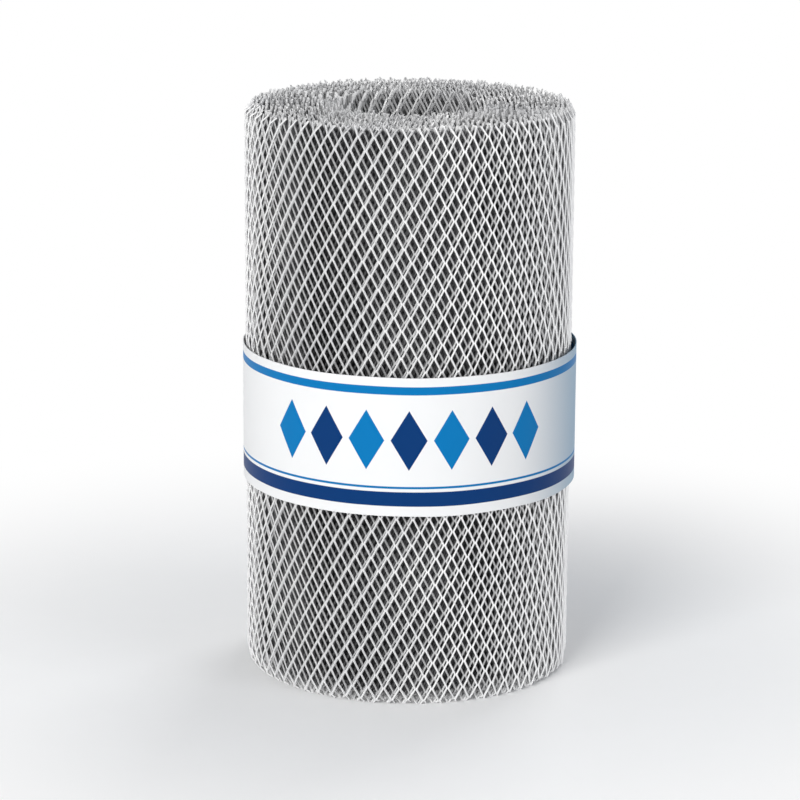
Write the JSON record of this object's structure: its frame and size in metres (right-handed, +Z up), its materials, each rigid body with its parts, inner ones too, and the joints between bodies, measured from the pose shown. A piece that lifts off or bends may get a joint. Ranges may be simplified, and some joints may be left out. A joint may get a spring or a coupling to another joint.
{
  "type": "gutter guard mesh roll",
  "caption": "Standing roll of expanded aluminium diamond mesh strip with an open bore and a paper label band round its middle.",
  "frame": {"origin": "centre of the roll's foot, on the floor that it stands on", "axes": "+Z up along the axis of the roll; the lap of the label band is at +Y"},
  "size_m": [0.1174, 0.1176, 0.2],
  "materials": {
    "mesh": "bright bare aluminium, cut and stretched into fine diamond mesh",
    "label": "smooth coated white paper with printed blue shapes and no lettering"
  },
  "bodies": {
    "root": {"mesh_roll": "mesh", "label_band": "label"}
  },
  "joints": []
}
